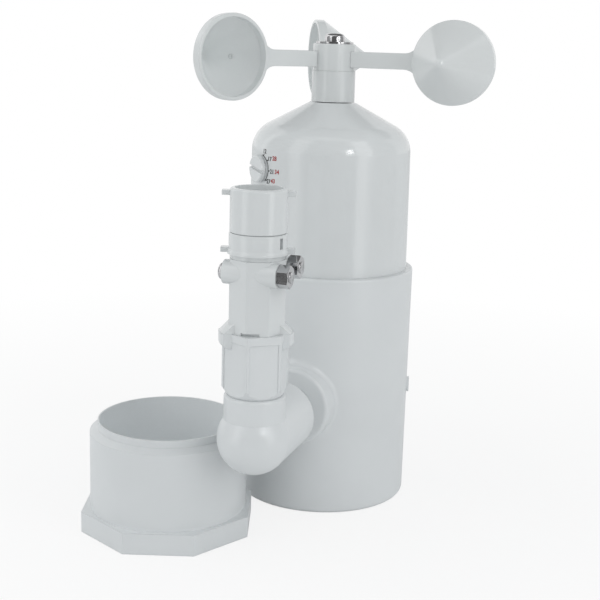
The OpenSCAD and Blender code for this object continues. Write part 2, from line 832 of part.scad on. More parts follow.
// Flyweight: two cheeks on the pin, a heavy block outside, and toes that press the collar
module flyweight(turn) {
    color(brass) rotate([0, 0, turn]) difference() {
        union() {
            for (s = [-1, 1]) translate([pin_reach, s * (cheek_y + cheek_t / 2), pin_z]) rotate([90, 0, 0])
                translate([0, 0, -cheek_t / 2]) linear_extrude(cheek_t) {
                    circle(r = pivot_r);
                    polygon([[-pivot_r, 0], [pivot_r, 0], [weight_d - rest_gap, weight_top - pin_z - 1],
                        [-rest_gap, weight_top - pin_z - 1]]);
                    polygon([[0, -pivot_r], [0, pivot_r / 2], [-toe_reach, toe_r - toe_drop],
                        [-toe_reach, -toe_r - toe_drop]]);
                    translate([-toe_reach, -toe_drop]) circle(r = toe_r);
                }
            block([pin_reach - rest_gap, -weight_w / 2, weight_top - weight_h],
                [pin_reach + weight_d - rest_gap, weight_w / 2, weight_top]);
        }
        translate([pin_reach, 0, pin_z]) rotate([90, 0, 0]) rod(pin_r + run_play, -weight_w, weight_w);
    }
}

module flyweight_1() {
    flyweight(0);
}

module flyweight_2() {
    flyweight(180);
}

// Collar that the flyweights press down the shaft
module governor_collar() {
    color(brass) difference() {
        union() {
            rod(sleeve_r, collar_z, flange_top);
            rod(flange_r, flange_top - flange_t, flange_top);
            rod(collar_disc_r, disc_z, disc_z + flange_t);
        }
        rod(shaft_r + run_play, collar_z - cut, flange_top + cut);
    }
}

// Dial with a screwdriver slot, a spindle and an eccentric pin
module speed_dial() {
    color(white) at_dial() translate([0, 0, dial_z]) difference() {
        union() {
            along_x(dial_face + dial_gap) turned(concat([[0, 0], [dial_r, 0]],
                arc([dial_r - rim_round, dial_t - rim_round], rim_round, 0, 90, 4), [[0, dial_t]]));
            along_x(spindle_end) rod(spindle_r, 0, dial_face + dial_gap + 0.5 - spindle_end);
            translate([0, cam_offset, 0]) along_x(web_x - 0.4) rod(cam_pin_r, 0, spindle_end - web_x + 0.6);
        }
        rotate([slot_turn, 0, 0]) block([dial_front - slot_depth, -dial_r - cut, -slot_w / 2],
            [dial_front + cut, dial_r + cut, slot_w / 2]);
    }
}

// Clip that keeps the spindle in the bell
module dial_clip() {
    color(steel) at_dial() translate([0, 0, dial_z])
        along_x(dial_boss_in - clip_t - 0.2) tube(spindle_r + 1.4, spindle_r + seat_play, 0, clip_t);
}

// Carrier that the dial lifts on two posts, with a side plate for the switch
module switch_carrier() {
    color(dark) at_dial() difference() {
        union() {
            block([carrier_x0, -carrier_half, carrier_z], [carrier_x1, carrier_half, carrier_z + carrier_h]);
            block([web_x, -web_w / 2, carrier_z], [web_x + web_t, web_w / 2, dial_z + 3.5]);
            block([switch_x0, switch_w / 2, carrier_z],
                [carrier_x0 + 1, switch_w / 2 + arm_plate_t, carrier_z + switch_h]);
        }
        for (s = [-1, 1]) translate([post_reach, s * post_half, 0])
            rod(post_r + run_play, carrier_z - cut, carrier_z + carrier_h + cut);
        block([web_x - cut, -cam_offset - cam_pin_r - 0.4, dial_z - cam_pin_r - cam_room],
            [web_x + web_t + cut, cam_offset + cam_pin_r + 0.4, dial_z + cam_pin_r + cam_room]);
        for (x = mount_screw_xs) translate([x, 0, carrier_z + switch_h / 2]) rotate([90, 0, 0])
            rod(mount_screw_r + run_play, -switch_w, 0);
    }
}

// Case of a miniature switch, along +X, with a pocket for its button
module switch_case(pocket_x, top) {
    difference() {
        block([0, -switch_w / 2, 0], [switch_l, switch_w / 2, switch_h]);
        translate([pocket_x, 0, 0]) rod(button_r + run_play, top - button_depth, switch_h + cut);
    }
}

// Switch that the governor works
module wind_switch() {
    color(dark) at_dial() difference() {
        union() {
            translate([switch_x0, 0, carrier_z]) switch_case(button_x - switch_x0, switch_h - 1);
            for (s = [-1, 1]) translate([lever_pivot_x, s * lever_ear_y, lever_z + lever_t / 2])
                rotate([90, 0, 0]) {
                    rod(lever_ear_r, -lever_ear_half, lever_ear_half);
                    block([-lever_ear_r, carrier_z + switch_h - lever_z - 0.5, -lever_ear_half],
                        [lever_ear_r, 0, lever_ear_half]);
                }
        }
        translate([lever_pivot_x, 0, lever_z + lever_t / 2]) rotate([90, 0, 0])
            rod(lever_pin_r + run_play, -lever_w, lever_w);
        for (x = mount_screw_xs) translate([x, 0, carrier_z + switch_h / 2]) rotate([90, 0, 0])
            rod(mount_screw_r + run_play, -switch_w, switch_w);
    }
}

// Screws that hold the switch to the carrier
module wind_switch_screws() {
    color(steel) at_dial() for (x = mount_screw_xs) translate([x, -switch_w / 2, carrier_z + switch_h / 2])
        rotate([90, 0, 0]) {
            rod(mount_screw_r, -switch_w - arm_plate_t, 0.1);
            pan_head(mount_screw_r + 0.6, 0.9);
        }
}

// Lever over the switch's button, with its own pin
module switch_lever() {
    color(steel) at_dial() {
        block([lever_tip_x, -lever_w / 2, lever_z], [lever_pivot_x, lever_w / 2, lever_z + lever_t]);
        translate([lever_pivot_x, 0, lever_z + lever_t / 2]) rotate([90, 0, 0])
            rod(lever_pin_r, -lever_ear_y - lever_ear_half, lever_ear_y + lever_ear_half);
    }
}

// Button of the wind switch
module wind_switch_button() {
    color("firebrick") at_dial() translate([button_x, 0, 0])
        rod(button_r, carrier_z + switch_h - 1 - button_depth + 0.8, button_top);
}

// Elbow from the tee's boss up to the collar
module street_elbow() {
    leg_end = boss_reach + elbow_gap;
    color(pvc) difference() {
        union() {
            translate([0, 0, branch_z]) rotate([90, 0, 0]) {
                rod(branch_r, boss_reach - boss_depth, rain_reach);
                turned(concat([[0, leg_end]],
                    arc([elbow_leg_r - tee_round, leg_end + tee_round], tee_round, -90, 0, 6),
                    [[elbow_leg_r, rain_reach], [0, rain_reach]]));
            }
            at_rain() {
                translate([0, 0, branch_z]) sphere(r = elbow_ball_r);
                turned(concat([[0, branch_z], [elbow_neck_r, branch_z]],
                    arc([elbow_neck_r - 1, elbow_mouth - 1], 1, 0, 90, 4), [[0, elbow_mouth]]));
            }
        }
        translate([0, 0, branch_z]) rotate([90, 0, 0]) rod(branch_bore_r, 0, rain_reach);
        at_rain() {
            translate([0, 0, branch_z]) sphere(r = branch_bore_r);
            rod(branch_bore_r, branch_z, elbow_mouth);
            rod(branch_socket_r, elbow_mouth - branch_depth, elbow_mouth + cut);
        }
    }
}

// Six-sided collar between the elbow and the rain sensor, with a shallow panel in each side and two wings
module hex_collar() {
    hex_top = collar_top - collar_flange_h;
    side_x = collar_r * cos(30);
    panel_half = collar_r / 2 - collar_rib;
    color(pvc) at_rain() difference() {
        union() {
            rod(branch_r, elbow_mouth - branch_depth, elbow_mouth + 1);
            difference() {
                intersection() {
                    rotate([0, 0, collar_turn + 30]) translate([0, 0, elbow_mouth])
                        cylinder(r = collar_r, h = collar_top - elbow_mouth, $fn = 6);
                    turned([[0, elbow_mouth], [collar_r - collar_chamfer * 0.6, elbow_mouth],
                        [collar_r + cut, elbow_mouth + collar_chamfer + cut],
                        [collar_r + cut, collar_top + cut], [0, collar_top + cut]]);
                }
                for (a = [0:60:300]) rotate([0, 0, collar_turn + a])
                    block([side_x - collar_panel, -panel_half, elbow_mouth - cut],
                        [side_x + cut, panel_half, collar_top - collar_band]);
            }
            intersection() {
                rotate([0, 0, 15]) translate([0, 0, hex_top])
                    cylinder(r = collar_flange_r, h = collar_flange_h, $fn = 12);
                turned([[0, hex_top], [collar_flange_r - collar_bevel, hex_top],
                    [collar_flange_r + cut, hex_top + collar_bevel + cut],
                    [collar_flange_r + cut, collar_top + cut], [0, collar_top + cut]]);
                rotate([0, 0, foot_turn]) block([-collar_flange_r, -rain_foot_w / 2, hex_top],
                    [collar_flange_r, rain_foot_w / 2, collar_top + cut]);
            }
        }
        rod(branch_bore_r, elbow_mouth - branch_depth - cut, collar_top);
        rod(branch_socket_r, collar_top - stub_depth, collar_top + cut);
    }
}

// Eight-sided body of the rain sensor, with a threaded stub below and two bolt bosses
module rain_body() {
    color(white) at_rain() difference() {
        union() {
            rod(branch_r, rain_z - stub_depth, rain_z + 1);
            translate([0, 0, rain_z]) cylinder(r = rain_corner, h = rain_h, $fn = 8);
            intersection() {
                rotate([0, 0, foot_turn]) block([-foot_r, -rain_foot_w / 2, rain_z],
                    [foot_r, rain_foot_w / 2, rain_z + rain_foot_h]);
                translate([0, 0, rain_z]) cylinder(r1 = foot_r, r2 = foot_top_r, h = rain_foot_h);
            }
            intersection() {
                for (p = bolt_places) translate([0, p[0], p[1]])
                    along_x(-bolt_boss_x) rod(bolt_boss_r, 0, 2 * bolt_boss_x);
                rod(2 * bolt_boss_x, rain_z, rain_top);
            }
        }
        rod(plug_lip_r, rain_z - stub_depth - cut, rain_top);
        rod(rain_bore_r, plug_z, rain_top + cut);
        rod(guide_r + guide_play, guide_seat_z, rain_top + cut);
        for (p = bolt_places) translate([0, p[0], p[1]])
            along_x(-bolt_boss_x - cut) rod(bolt_r + bolt_play, 0, 2 * (bolt_boss_x + cut));
        rotate([0, 0, notch_turn]) block([rain_corner - notch_depth, -notch_w / 2, rain_z - cut],
            [rain_corner + cut, notch_w / 2, rain_z + notch_h]);
    }
}

// Neck on the sensor body, round which the vent ring and the cap turn
module sensor_neck() {
    color(white) at_rain() difference() {
        union() {
            rod(rain_corner - 1, rain_top, vent_z);
            rod(rain_neck_r, rain_top, neck_top);
        }
        rod(rain_neck_bore, rain_top - cut, neck_top + cut);
    }
}

// Bolts through the sensor body
module through_bolts() {
    color(steel) at_rain() for (p = bolt_places) translate([-bolt_boss_x, p[0], p[1]]) rotate([0, 90, 0]) {
        rod(bolt_r, -0.1, 2 * bolt_boss_x + nut_t + bolt_tip);
        rotate([180, 0, 0]) pan_head(bolt_head_r, bolt_head_h);
    }
}

// Nuts on the bolts, with chamfered corners
module hex_nuts() {
    corner = nut_af / 2 / cos(30);
    color(steel) at_rain() for (p = bolt_places) translate([bolt_boss_x, p[0], p[1]]) rotate([0, 90, 0])
        difference() {
            intersection() {
                cylinder(r = corner, h = nut_t, $fn = 6);
                turned([[0, 0], [corner - nut_bevel, 0], [corner + nut_bevel, nut_bevel],
                    [corner + nut_bevel, nut_t - nut_bevel], [corner - nut_bevel, nut_t], [0, nut_t]]);
            }
            rod(bolt_r + bolt_play, -cut, nut_t + cut);
        }
}

// Resin plug that seals the rain switch from below
module potting_plug() {
    color(dark) at_rain() rod(rain_bore_r - guide_play, plug_z, rain_switch_z);
}

// Switch that the rain plunger works
module rain_switch() {
    color(dark) at_rain() translate([0, 0, rain_switch_z]) rotate([0, 0, 90])
        translate([-switch_l / 2, 0, 0]) switch_case(switch_l / 2, switch_h - 1);
}

// Disc that guides the plunger's stem
module plunger_guide() {
    color(white) at_rain() tube(guide_r, stem_r + run_play, guide_seat_z, guide_seat_z + guide_t);
}

// Spring that lifts the plunger
module rain_spring() {
    color(steel) at_rain() coil(stem_r + wire_r + spring_room, guide_seat_z + guide_t, head_z, 4);
}

// Plunger under the absorbent discs
module rain_plunger() {
    color(brass) at_rain() {
        rod(stem_r, stem_bottom, head_z + 0.2);
        rod(disc_r, head_z, head_z + head_t);
    }
}

// Stack of absorbent discs that swell when wet
module absorbent_discs() {
    color("tan") at_rain() for (i = [0:disc_count - 1]) let (z = head_z + head_t + i * disc_pitch)
        rod(disc_r, z + disc_gap / 2, z + disc_pitch - disc_gap / 2);
}

// Button of the rain switch
module rain_switch_button() {
    color("firebrick") at_rain()
        rod(button_r, rain_switch_z + switch_h - 1 - button_depth + 1, rain_button_top);
}

// Pair of finger tabs on opposite sides, on a ring of radius r
module tabs(r, z) {
    for (a = [0, 180]) rotate([0, 0, tab_turn + a])
        block([r - 0.8, -tab_w / 2, z], [r + tab_l, tab_w / 2, z + tab_t]);
}

// Ring that opens and covers the vents
module vent_ring() {
    color(white) at_rain() difference() {
        union() {
            turned([[0, vent_z], [vent_r + 0.5, vent_z], [vent_r + 0.5, vent_z + 0.8], [vent_r, vent_z + 1.8],
                [vent_r, vent_z + vent_h - 0.3], [vent_r - 0.3, vent_z + vent_h], [0, vent_z + vent_h]]);
            tabs(vent_r, vent_z + 0.3);
        }
        rod(turn_r, vent_z - cut, vent_z + vent_h + cut);
        rotate([0, 0, window_turn]) block([0, -window_w / 2, vent_z + vent_h - 1 - window_h],
            [vent_r + 2, window_w / 2, vent_z + vent_h - 1]);
    }
}

// Rain cap: a sleeve on the neck, a drilled deck over the discs and an open recess
module rain_cap() {
    color(white) at_rain() difference() {
        union() {
            turned(concat([[0, cap_z], [cap_r - 0.3, cap_z], [cap_r, cap_z + 0.3]],
                arc([cap_r - 0.8, cap_top - 0.8], 0.8, 0, 90, 6), [[0, cap_top]]));
            tabs(cap_r, cap_top - 2.7);
        }
        rod(turn_r, cap_z - cut, deck_z);
        rod(cap_recess_r, deck_z + deck_t, cap_top + cut);
        for (a = [0:60:300]) rotate([0, 0, a]) translate([drain_reach, 0, 0])
            rod(drain_r, deck_z - cut, cap_top);
    }
}

// Bushing that stands beside the sensor, with an eight-sided flange
module loose_bushing() {
    color(pvc) translate([bushing_x, bushing_y, 0]) difference() {
        union() {
            turned([[0, 0], [pipe_r, 0], [pipe_r, ledge_z - bushing_ledge], [bushing_rim_r, ledge_z],
                [bushing_rim_r, bushing_h], [0, bushing_h]]);
            rotate([0, 0, bushing_turn]) cylinder(r = bushing_flange_r, h = bushing_flange_h, $fn = 8);
        }
        rod(bushing_hole_r, -cut, bushing_h);
        rod(bushing_in_r, bushing_seat_h, bushing_h + cut);
    }
}

tee_fitting();
pipe_nipple();
bell_housing();
mechanism_plate();
plate_screws();
outer_races();
dial_seal();
rotor_hub();
cup_arm_1();
cup_arm_2();
cup_arm_3();
hub_skirt();
top_washer();
top_screw();
rotor_shaft();
inner_races();
bearing_balls();
shaft_clips();
governor_crosshead();
flyweight_pins();
spring_seat();
governor_spring();
flyweight_1();
flyweight_2();
governor_collar();
speed_dial();
dial_clip();
switch_carrier();
wind_switch();
wind_switch_screws();
switch_lever();
wind_switch_button();
street_elbow();
hex_collar();
rain_body();
sensor_neck();
through_bolts();
hex_nuts();
potting_plug();
rain_switch();
plunger_guide();
rain_spring();
rain_plunger();
absorbent_discs();
rain_switch_button();
vent_ring();
rain_cap();
loose_bushing();
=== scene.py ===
import json
import math

import bmesh
import bpy
from mathutils import Matrix, Vector
from mathutils.bvhtree import BVHTree


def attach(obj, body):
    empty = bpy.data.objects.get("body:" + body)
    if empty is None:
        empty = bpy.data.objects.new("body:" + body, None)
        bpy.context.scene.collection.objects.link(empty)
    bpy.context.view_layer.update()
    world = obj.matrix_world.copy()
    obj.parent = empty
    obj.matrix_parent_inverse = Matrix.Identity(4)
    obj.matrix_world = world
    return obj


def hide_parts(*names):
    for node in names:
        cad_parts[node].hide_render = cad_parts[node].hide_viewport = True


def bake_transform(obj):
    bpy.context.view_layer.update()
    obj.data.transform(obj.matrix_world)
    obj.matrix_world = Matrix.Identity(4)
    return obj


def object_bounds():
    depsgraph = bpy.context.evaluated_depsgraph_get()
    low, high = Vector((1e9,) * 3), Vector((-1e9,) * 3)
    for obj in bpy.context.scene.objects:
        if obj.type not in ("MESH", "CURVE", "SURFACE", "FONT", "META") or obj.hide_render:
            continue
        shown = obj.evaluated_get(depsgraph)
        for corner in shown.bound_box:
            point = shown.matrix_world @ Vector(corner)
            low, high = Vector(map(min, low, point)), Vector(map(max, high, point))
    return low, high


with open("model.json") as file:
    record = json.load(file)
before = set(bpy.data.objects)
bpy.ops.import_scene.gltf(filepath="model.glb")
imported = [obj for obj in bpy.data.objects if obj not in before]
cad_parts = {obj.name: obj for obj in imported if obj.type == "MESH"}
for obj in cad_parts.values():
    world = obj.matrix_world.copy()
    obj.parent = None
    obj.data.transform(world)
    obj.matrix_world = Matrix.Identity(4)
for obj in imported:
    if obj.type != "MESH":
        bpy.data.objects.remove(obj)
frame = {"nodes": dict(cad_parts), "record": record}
cad_low, cad_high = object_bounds()

# One millimetre in the frame's metres.
MM = 0.001

# The photo's camera: distance and height in mm, focal length in photo pixels, angles in radians, and the
# nearest thing that it sees in metres.
PHOTO_PIXELS = 600
SENSOR_WIDTH = 36.0
CAMERA_NEAR = 0.01
CAMERA_DISTANCE = 467.758
CAMERA_HEIGHT = 184.508
CAMERA_FOCAL = 1145.377
CAMERA_YAW = -0.0231
CAMERA_PITCH = 0.2197
CAMERA_ROLL = 0.0302
CAMERA_BEARING = math.radians(17.4)

# The tee and its side boss: radii, height of the branch, radius of the boss's root, and the shares of the
# boss and the barrel at which the hidden back of the root lies.
TEE_R = 35.3
BOSS_R = 15.5
BRANCH_Z = 46.0
BOSS_FILLET = 2.6
BOSS_BACK = 0.95
TEE_BACK = 0.94

# The cups: rim centre from the shaft, height, depth of the inside, half angle of the cone, directions.
CUP_REACH = 49.1
CUP_Z = 179.1
CUP_DEPTH = 24.3
CUP_SLOPE = math.radians(34.8)
CUP_TURNS = [math.radians(degrees) for degrees in (-1.9, 118.1, 238.1)]

# The mark of the moulding gate in each cup: height over the cone's tip, radius, depth in the wall,
# heights of its shoulder, its rim and its floor, and how far in from the radius its slopes turn.
GATE_RISE = 11.2
GATE_R = 1.0
GATE_ROOT = -0.4
GATE_SHOULDER = 0.2
GATE_RIM = 0.32
GATE_FLOOR = (0.06, 0.04)
GATE_SLOPES = (0.15, 0.4, 0.55)

# The bolts of the rain sensor: radius, start and end of the bare tips, places across the sensor's axis.
RAIN_Y = -80.7
BOLT_R = 2.0
BOLT_TIP = (14.2, 14.6)
BOLT_PLACES = ((-5.2, 107.0), (5.2, 108.7))

# The threads on the bolt tips: pitch, height of a ridge, depth of the root, reach into the nut, and the
# chamfer and the crown at the end.
THREAD_PITCH = 0.5
THREAD_RIDGE = 0.2
THREAD_ROOT = 0.05
THREAD_SUNK = 0.3
THREAD_CHAMFER = 0.4
THREAD_CROWN = (0.05, 0.08)

# The dial on the bell and the scale printed beside it: the arc's radius, start and step in degrees, its
# points, its ticks, the lift of the ink, the height of the numbers and how bold they are.
DIAL_TURN = math.radians(-131.8)
DIAL_Z = 136.2
BELL_R = 32.1
SCALE_R = 5.75
SCALE_START = -50
SCALE_STEP = 2.5
SCALE_POINTS = 51
SCALE_LINE = 0.3
SCALE_TICKS = (-42, -3, 36, 66)
SCALE_TICK = 0.8
SCALE_TICK_LINE = SCALE_LINE * 1.5
SCALE_INK = 0.04
SCALE_DIGITS = 2.35
SCALE_WEIGHT = 0.05

# The numbers of the scale, each with its place across and up from the dial's centre.
DARK_NUMBERS = (("12", 3.0, 7.0), ("17", 6.4, 4.3), ("21", 8.0, -0.5), ("27", 6.1, -4.5))
RED_NUMBERS = (("28", 9.2, 4.7), ("34", 10.7, -0.4), ("43", 8.7, -4.1))

# The studio, in metres: lamps with (bearing, distance, height), size and watts, and cards with the same
# and their glow. A bearing is in degrees to the right of the camera.
LAMPS = (
    ("soft_box_left", (-60.0, 1.15, 0.62), (0.6, 1.25), 2.1),
    ("soft_box_behind", (-100.0, 1.15, 0.5), (0.8, 1.2), 1.8),
    ("soft_box_right", (50.0, 1.15, 0.62), (0.6, 1.25), 3.3),
)
CARDS = (
    ("bright_strip_left", (-50.0, 0.5, 0.3), (0.13, 0.7), 1.5),
    ("bright_strip_right", (45.0, 0.5, 0.3), (0.13, 0.7), 1.8),
    ("side_card_left", (-84.0, 0.6, 0.3), (0.5, 0.7), 0.45),
    ("side_card_right", (84.0, 0.6, 0.3), (0.5, 0.7), 0.45),
    ("front_card", (0.0, 0.40, 0.35), (0.58, 0.8), 0.15),
    ("window_card", (26.3, 0.36, 0.248), (0.052, 0.118), 10.0),
)
CEILING_PLACE = Vector((0.0, 0.25, 1.1))
CEILING_SIZE = (1.6, 1.3)
CEILING_GLOW = 0.2
STAGE_MIDDLE = Vector((0.0, -0.03, 0.09))
CARD_LEVEL = 0.4
FILL_LEVEL = 0.665
FILL_TONE = (0.97, 0.99, 1.0, 1.0)
WHITE = (1.0, 1.0, 1.0, 1.0)

# The floor, in metres: half its width, the gap under the object, the two tones of its paper, and where it
# turns white to the camera, from which share.
FLOOR_HALF = 4.0
FLOOR_GAP = 0.05 * MM
FLOOR_TONES = ((0.90, 0.905, 0.91), (0.93, 0.93, 0.93))
FLOOR_FADE = (0.10, 0.40)
FLOOR_WHITE = 0.80

# Faces that meet at more than this angle keep a sharp edge.
SHARP_ANGLE = math.radians(35.0)

# Painted light in hollows: how wide a hollow may be to be painted paler, standing in for light that comes
# in through thin walls.
HOLLOW_REACH = 60 * MM


# Materials: the scales of noise are in waves per metre

class Shader:
    """A material's node tree, with short calls for the nodes that the finishes share."""

    RAYS = 6

    def __init__(self, name):
        self.material = bpy.data.materials.new(name)
        self.material.use_nodes = True
        self.tree = self.material.node_tree
        self.tree.nodes.clear()
        self.surface = self.add("ShaderNodeBsdfPrincipled")
        output = self.add("ShaderNodeOutputMaterial")
        self.link(self.surface.outputs["BSDF"], output.inputs["Surface"])
        self.place = self.add("ShaderNodeTexCoord").outputs["Object"]

    def add(self, kind):
        return self.tree.nodes.new(kind)

    def link(self, source, target):
        self.tree.links.new(source, target)

    def stretched(self, scale):
        """The object's coordinates, drawn out by a different amount along each axis."""
        node = self.add("ShaderNodeMapping")
        node.inputs["Scale"].default_value = scale
        self.link(self.place, node.inputs["Vector"])
        return node.outputs["Vector"]

    def noise(self, scale, detail, place=None):
        """Soft blotches from 0 to 1, in the object's coordinates unless place gives others."""
        node = self.add("ShaderNodeTexNoise")
        node.inputs["Scale"].default_value = scale
        node.inputs["Detail"].default_value = detail
        self.link(place or self.place, node.inputs["Vector"])
        return node.outputs["Fac"]

    def spread(self, value, low, high, to_low, to_high):
        """value, taken from the range low to high into the range to_low to to_high."""
        node = self.add("ShaderNodeMapRange")
        self.link(value, node.inputs["Value"])
        node.inputs["From Min"].default_value = low
        node.inputs["From Max"].default_value = high
        node.inputs["To Min"].default_value = to_low
        node.inputs["To Max"].default_value = to_high
        return node.outputs["Result"]

    def mix(self, factor, first, second):
        """A colour between first and second, each a tone or a node's output."""
        node = self.add("ShaderNodeMix")
        node.data_type = "RGBA"
        self.link(factor, node.inputs["Factor"])
        for socket, value in ((node.inputs[6], first), (node.inputs[7], second)):
            if isinstance(value, tuple):
                socket.default_value = (*value, 1.0)
            else:
                self.link(value, socket)
        return node.outputs[2]

    def multiply(self, first, second):
        """The product of two nodes' outputs."""
        node = self.add("ShaderNodeMath")
        node.operation = "MULTIPLY"
        self.link(first, node.inputs[0])
        self.link(second, node.inputs[1])
        return node.outputs["Value"]

    def soft_edges(self, radius):
        """A normal that rounds the edges."""
        node = self.add("ShaderNodeBevel")
        node.samples = self.RAYS
        node.inputs["Radius"].default_value = radius
        return node.outputs["Normal"]

    def bump(self, height, distance, normal=None):
        """A normal that follows height, on top of another normal if there is one."""
        node = self.add("ShaderNodeBump")
        node.inputs["Strength"].default_value = 1.0
        node.inputs["Distance"].default_value = distance
        self.link(height, node.inputs["Height"])
        if normal is not None:
            self.link(normal, node.inputs["Normal"])
        return node.outputs["Normal"]

    def corners(self, reach, own=False):
        """Near 0 in corners and seams, 1 in the open; own leaves the other pieces out."""
        node = self.add("ShaderNodeAmbientOcclusion")
        node.samples = self.RAYS
        node.only_local = own
        node.inputs["Distance"].default_value = reach
        return node.outputs["AO"]


def shade(tone, factor):
    """A tone made lighter or darker."""
    return tuple(channel * factor for channel in tone)


def moulded_plastic(name, tone, gloss, grain, edge=0.35 * MM, painted_hollow_light=1.0):
    """Moulded plastic: a faint drift in tone, fine grain, handling marks, and painted shade in its
    corners.

    The last argument is how much paler its hollows are painted: painted light that stands in for light
    coming in through the thin walls.
    """
    s = Shader(name)
    drift = s.noise(38.0, 3.0)
    body = s.mix(s.spread(drift, 0.3, 0.7, 0.0, 1.0), shade(tone, 0.975), shade(tone, 1.015))
    specks = s.spread(s.noise(1300.0, 1.0), 0.68, 0.76, 0.0, 0.14)
    body = s.mix(specks, body, shade(tone, 0.88))
    if painted_hollow_light > 1.0:
        # Painted light: hollows made paler, standing in for light that comes in through the thin walls.
        painted_light_mask = s.spread(s.corners(HOLLOW_REACH, own=True), 0.35, 0.62, 1.0, 0.0)
        body = s.mix(painted_light_mask, body, shade(tone, painted_hollow_light))
    # Painted shade: a little darker in corners and seams, where the pieces shade each other.
    painted_corner_shade = s.spread(s.corners(1.2 * MM), 0.2, 0.7, 0.12, 0.0)
    body = s.mix(painted_corner_shade, body, shade(tone, 0.7))
    s.link(body, s.surface.inputs["Base Color"])

    rubs = s.noise(24.0, 4.0, s.stretched((1.0, 1.0, 5.0)))
    s.link(s.spread(rubs, 0.3, 0.7, gloss * 0.93, gloss * 1.08), s.surface.inputs["Roughness"])
    s.surface.inputs["IOR"].default_value = 1.5

    edges = s.soft_edges(edge) if edge else None
    sinks = s.bump(s.noise(45.0, 0.0), 0.02 * MM, edges)
    s.link(s.bump(s.noise(1700.0, 2.0), grain, sinks), s.surface.inputs["Normal"])
    return s.material


def metal(name, tone, gloss, streaks, edge=0.18 * MM):
    """Bare or plated metal: fine turning streaks, a slightly uneven sheen, and painted shade that darkens
    its corners.
    """
    s = Shader(name)
    s.surface.inputs["Metallic"].default_value = 1.0
    tarnish = s.spread(s.noise(260.0, 4.0), 0.35, 0.7, 0.0, 1.0)
    body = s.mix(tarnish, shade(tone, 1.04), shade(tone, 0.84))
    # Painted shade: much darker in corners and seams.
    painted_metal_shade = s.spread(s.corners(1.4 * MM), 0.3, 0.8, 0.7, 0.0)
    body = s.mix(painted_metal_shade, body, shade(tone, 0.25))
    s.link(body, s.surface.inputs["Base Color"])

    lines = s.noise(420.0, 2.0, s.stretched((1.0, 1.0, 14.0)))
    s.link(s.spread(lines, 0.3, 0.7, gloss * 0.75, gloss * 1.4), s.surface.inputs["Roughness"])
    s.link(s.bump(lines, streaks, s.soft_edges(edge)), s.surface.inputs["Normal"])
    return s.material


def rubber(name, tone):
    """Rubber with a pale bloom and a fine grain."""
    s = Shader(name)
    bloom = s.spread(s.noise(180.0, 4.0), 0.4, 0.75, 0.0, 0.6)
    s.link(s.mix(bloom, tone, shade(tone, 2.2)), s.surface.inputs["Base Color"])
    s.link(s.spread(bloom, 0.0, 0.6, 0.55, 0.85), s.surface.inputs["Roughness"])
    s.link(s.bump(s.noise(2200.0, 2.0), 0.03 * MM, s.soft_edges(0.2 * MM)), s.surface.inputs["Normal"])
    return s.material


def cork(name, tone):
    """Pressed cork: grains of two tones with dark pores."""
    s = Shader(name)
    cells = s.add("ShaderNodeTexVoronoi")
    cells.inputs["Scale"].default_value = 900.0
    s.link(s.place, cells.inputs["Vector"])
    rims = s.spread(cells.outputs["Distance"], 0.1, 0.6, 0.0, 1.0)
    grains = s.mix(rims, shade(tone, 1.15), shade(tone, 0.7))
    pores = s.spread(s.noise(1500.0, 3.0), 0.58, 0.68, 0.0, 0.8)
    s.link(s.mix(pores, grains, shade(tone, 0.3)), s.surface.inputs["Base Color"])
    s.surface.inputs["Roughness"].default_value = 0.9
    s.link(s.bump(cells.outputs["Distance"], 0.12 * MM), s.surface.inputs["Normal"])
    return s.material


def ink(name, tone):
    """Printed ink, thin in places."""
    s = Shader(name)
    worn = s.spread(s.noise(1600.0, 3.0), 0.45, 0.75, 0.0, 0.5)
    s.link(s.mix(worn, tone, shade(tone, 2.0)), s.surface.inputs["Base Color"])
    s.surface.inputs["Roughness"].default_value = 0.5
    return s.material


# One finish for each material slot of the record
PVC_TONE = (0.700, 0.722, 0.730)
PVC_GLOSS = 0.30
PVC_GRAIN = 0.008 * MM
HOUSING_TONE = (0.700, 0.722, 0.726)
ROTOR_TONE = (0.700, 0.722, 0.722)

finishes = {
    "pvc": moulded_plastic("pvc", PVC_TONE, gloss=PVC_GLOSS, grain=PVC_GRAIN, painted_hollow_light=1.3),
    "housing": moulded_plastic("housing", HOUSING_TONE, gloss=0.13, grain=0.003 * MM, edge=0.2 * MM),
    "rotor": moulded_plastic("rotor", ROTOR_TONE, gloss=0.18, grain=0.003 * MM, painted_hollow_light=1.16),
    "dark_plastic": moulded_plastic("dark_plastic", (0.030, 0.030, 0.032), gloss=0.5, grain=0.02 * MM),
    "steel": metal("steel", (0.50, 0.50, 0.51), gloss=0.32, streaks=0.02 * MM),
    "chrome": metal("chrome", (0.58, 0.58, 0.59), gloss=0.10, streaks=0.006 * MM),
    "brass": metal("brass", (0.58, 0.41, 0.16), gloss=0.28, streaks=0.02 * MM),
    "seal": rubber("seal", (0.018, 0.018, 0.018)),
    "button": moulded_plastic("button", (0.36, 0.035, 0.025), gloss=0.45, grain=0.01 * MM),
    "resin": moulded_plastic("resin", (0.022, 0.022, 0.024), gloss=0.2, grain=0.03 * MM),
    "cork": cork("cork", (0.36, 0.23, 0.12)),
}
pvc_root = moulded_plastic("pvc_root", PVC_TONE, gloss=PVC_GLOSS, grain=PVC_GRAIN, edge=0.0)
dark_ink = ink("dark_ink", (0.030, 0.030, 0.032))
red_ink = ink("red_ink", (0.36, 0.035, 0.035))


def paint(thing, material):
    """Makes material the only one on thing."""
    thing.data.materials.clear()
    thing.data.materials.append(material)


def paint_cad_nodes():
    """Each CAD node gets the finish of its slot."""
    for subpart in frame["record"]["subparts"]:
        paint(frame["nodes"][subpart["node"]], finishes[subpart["material_slot"]])


# Pieces

